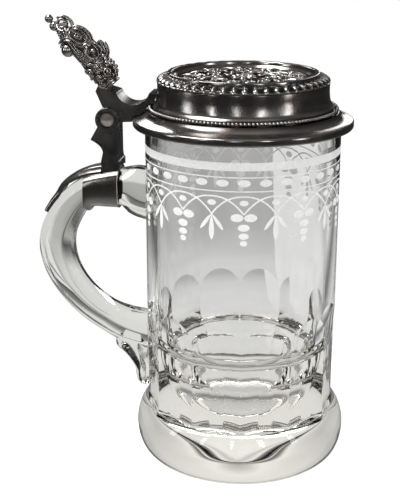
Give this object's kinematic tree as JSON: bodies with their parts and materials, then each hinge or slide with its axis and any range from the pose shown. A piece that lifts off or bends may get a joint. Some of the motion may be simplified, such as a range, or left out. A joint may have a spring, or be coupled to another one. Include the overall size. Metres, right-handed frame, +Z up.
{
  "type": "lidded beer mug",
  "caption": "Tall clear glass beer mug with a glass handle, cut panels round its lower half and a hinged pewter lid with a cast thumblift",
  "frame": {"origin": "middle of the mug's flat base, on the surface that it stands on", "axes": "+Z up along the glass's axis; the handle points along -X; the hinge pin lies along Y"},
  "size_m": [0.1404, 0.0956, 0.1975],
  "materials": {
    "glass": "clear polished glass",
    "pewter": "polished pewter with age tone",
    "dark_pewter": "dark patinated pewter",
    "pin_steel": "plain steel",
    "pin_plug": "dull soft metal"
  },
  "bodies": {
    "mug": {"glass_body": "glass", "glass_handle": "glass", "handle_collar": "pewter", "back_strap": "pewter", "hinge_post": "dark_pewter", "hinge_pin": "pin_steel", "pin_plug_near": "pin_plug", "pin_plug_far": "pin_plug"},
    "lid": {"lid_cover": "pewter", "bead_ring": "pewter", "gadroon_border": "pewter", "lid_rim": "pewter", "relief_disc": "dark_pewter", "lid_lever": "dark_pewter", "thumblift": "dark_pewter"}
  },
  "joints": [
    {"name": "lid_hinge", "type": "hinge", "parent": "mug", "child": "lid", "pos_m": [-0.0588, 0, 0.1532], "axis": [0, -1, 0], "range_deg": [0, 105]}
  ]
}
